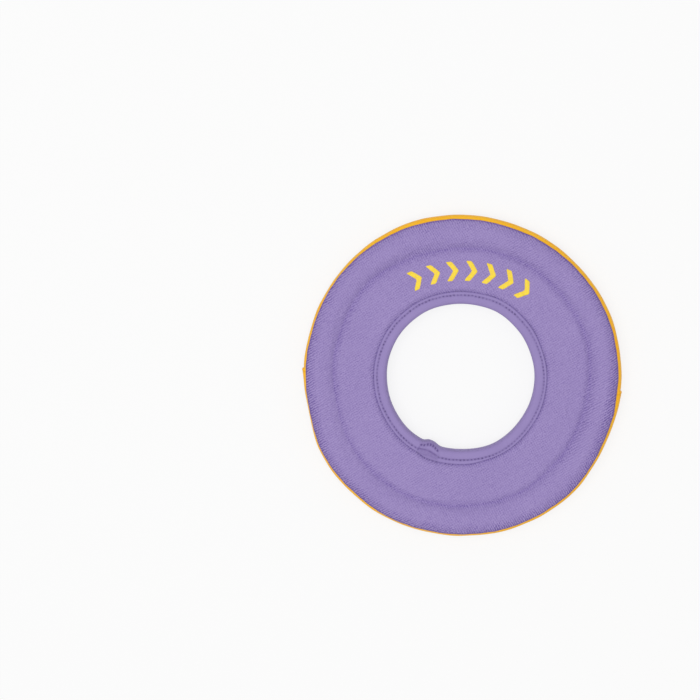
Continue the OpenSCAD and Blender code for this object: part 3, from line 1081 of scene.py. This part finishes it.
def foam_material():
    """Closed-cell foam, with its cells as fine pits."""
    nodes = Nodes("foam", 0.9)
    cells = nodes.add("ShaderNodeTexVoronoi")
    nodes.join(nodes.place(), cells.inputs["Vector"])
    cells.inputs["Scale"].default_value = 1500
    height = cells.outputs["Distance"]
    colour = nodes.mix(height, linear(232, 228, 216), linear(212, 207, 192))
    return nodes.finish(colour, height, 0.1 * MM, 0.6)


# -------- the ring
def build_ring():
    """Makes every piece of the ring."""
    covers = cover_material()
    tape = tape_material()
    band = band_material()
    foam = foam_material()
    cover_thread = thread_material("cover_thread", linear(160, 143, 197), linear(138, 120, 176))
    settled = {1: no_settling, -1: no_settling}
    settled = {1: settle_cover(61), -1: settle_cover(67)}

    make_foam("foam_web", HOLE_R + 1.2 * MM, CREASE_R - 0.1 * MM, foam)
    make_foam("foam_rim", CREASE_R + 0.1 * MM, SEAM_R - 3.2 * MM, foam)
    make_cover("top_cover", 1, settled[1], covers)
    make_cover("bottom_cover", -1, settled[-1], covers)
    make_band("edge_band_back", RIGHT_JOINT, LEFT_JOINT, band)
    make_band("edge_band_front", LEFT_JOINT, RIGHT_JOINT + TAU, band)
    make_binding(tape)
    make_binding_stitches("binding_stitch_top", 1, cover_thread)
    make_binding_stitches("binding_stitch_bottom", -1, cover_thread)
    make_join_stitches(cover_thread)
    make_marks(settled[1], print_material())
    lilac = linear(150, 133, 188), linear(120, 102, 160)
    for name in ("top_edge_seam_thread", "bottom_edge_seam_thread"):
        dress(name, thread_material("edge_seam_thread", *lilac, wound=False))
    amber = linear(222, 150, 30), linear(180, 110, 16)
    dress("band_joint_thread", thread_material("joint_thread", *amber, wound=False))


def dress(node, material):
    """Gives a carried-over CAD node its material."""
    slots = frame["nodes"][node].data.materials
    slots.clear()
    slots.append(material)


# -------- camera, light and floor
PICTURE = 700
RING_PIXEL = (461.2, 375.3)
RING_RADIUS_PIXELS = 160.3
CAMERA_DISTANCE = 1.9
LEAN_BACK = math.radians(8)
LEAN_RIGHT = math.radians(1)

LAMP_PLACE = (-0.26, 0.12, 1.9)
LAMP_SIZE = 1.8
LAMP_POWER = 19.2
WORLD_LIGHT = 0.55
FLOOR_HALF = 3.0
FLOOR_LEVEL = -0.15 * MM
FLOOR_COLOUR = (0.86, 0.86, 0.86, 1)
FLOOR_GLOW = 0.8


def make_camera():
    """Looks down on the ring from slightly behind it, with the ring where the photograph has it."""
    scale = OUTER_R / RING_RADIUS_PIXELS
    centre = Vector((0, 0, MID_Z))
    direction = Vector((math.sin(LEAN_RIGHT), math.sin(LEAN_BACK), 0))
    direction.z = math.sqrt(1 - direction.length_squared)
    target = centre + Vector((
        (PICTURE / 2 - RING_PIXEL[0]) * scale,
        (RING_PIXEL[1] - PICTURE / 2) * scale,
        0,
    ))
    data = bpy.data.cameras.new("camera")
    data.sensor_width = 36
    data.lens = data.sensor_width * CAMERA_DISTANCE / (PICTURE * scale)
    camera = bpy.data.objects.new("camera", data)
    camera.location = centre + CAMERA_DISTANCE * direction
    ahead = (target - camera.location).normalized()
    right = ahead.cross(Vector((0, 1, 0))).normalized()
    up = right.cross(ahead)
    matrix = camera.matrix_world.to_3x3()
    for row in range(3):
        matrix[row] = (right[row], up[row], -ahead[row])
    camera.rotation_euler = matrix.to_euler()
    bpy.context.scene.collection.objects.link(camera)
    bpy.context.scene.camera = camera


def show_seen(tree, light, seen, output, strength=1.0):
    """The surroundings take the shader seen where they are seen, and light where they light the ring.

    They are seen straight, in a gloss or through something clear.
    """
    path = tree.nodes.new("ShaderNodeLightPath")
    share = path.outputs["Is Camera Ray"]
    for kind in ("Is Glossy Ray", "Is Transmission Ray"):
        share = joined_math(tree, "MAXIMUM", share, path.outputs[kind])
    mix = tree.nodes.new("ShaderNodeMixShader")
    tree.links.new(joined_math(tree, "MULTIPLY", share, strength), mix.inputs[0])
    tree.links.new(light.outputs[0], mix.inputs[1])
    tree.links.new(seen.outputs[0], mix.inputs[2])
    tree.links.new(mix.outputs[0], tree.nodes[output].inputs["Surface"])


def joined_math(tree, operation, first, second):
    node = tree.nodes.new("ShaderNodeMath")
    node.operation = operation
    tree.links.new(first, node.inputs[0])
    if isinstance(second, float):
        node.inputs[1].default_value = second
    else:
        tree.links.new(second, node.inputs[1])
    return node.outputs[0]


def make_light():
    """A large soft lamp near the camera, a little towards the back left, and an even world."""
    data = bpy.data.lights.new("softbox", "AREA")
    data.shape = "DISK"
    data.size = LAMP_SIZE
    data.energy = LAMP_POWER
    lamp = bpy.data.objects.new("softbox", data)
    lamp.location = LAMP_PLACE
    lamp.rotation_euler = (-lamp.location).to_track_quat("-Z", "Y").to_euler()
    bpy.context.scene.collection.objects.link(lamp)
    world = bpy.data.worlds.new("studio")
    world.use_nodes = True
    tree = world.node_tree
    light = tree.nodes["Background"]
    light.inputs["Color"].default_value = (1, 1, 1, 1)
    light.inputs["Strength"].default_value = WORLD_LIGHT
    seen = tree.nodes.new("ShaderNodeBackground")
    seen.inputs["Strength"].default_value = 1.0
    show_seen(tree, light, seen, "World Output")
    bpy.context.scene.world = world


def make_floor():
    """A pale floor that shows almost white and keeps a soft shadow."""
    corners = ((-1, -1), (1, -1), (1, 1), (-1, 1))
    points = [(x * FLOOR_HALF, y * FLOOR_HALF, FLOOR_LEVEL) for x, y in corners]
    floor = mesh_object("floor", points, [[0, 1, 2, 3]])
    material = bpy.data.materials.new("floor")
    material.use_nodes = True
    tree = material.node_tree
    shader = tree.nodes["Principled BSDF"]
    shader.inputs["Base Color"].default_value = FLOOR_COLOUR
    shader.inputs["Roughness"].default_value = 0.9
    glow = tree.nodes.new("ShaderNodeEmission")
    glow.inputs["Strength"].default_value = 1.0
    show_seen(tree, shader, glow, "Material Output", FLOOR_GLOW)
    floor.data.materials.append(material)


build_ring()
make_camera()
make_light()
make_floor()
bpy.context.scene.view_settings.view_transform = "Standard"
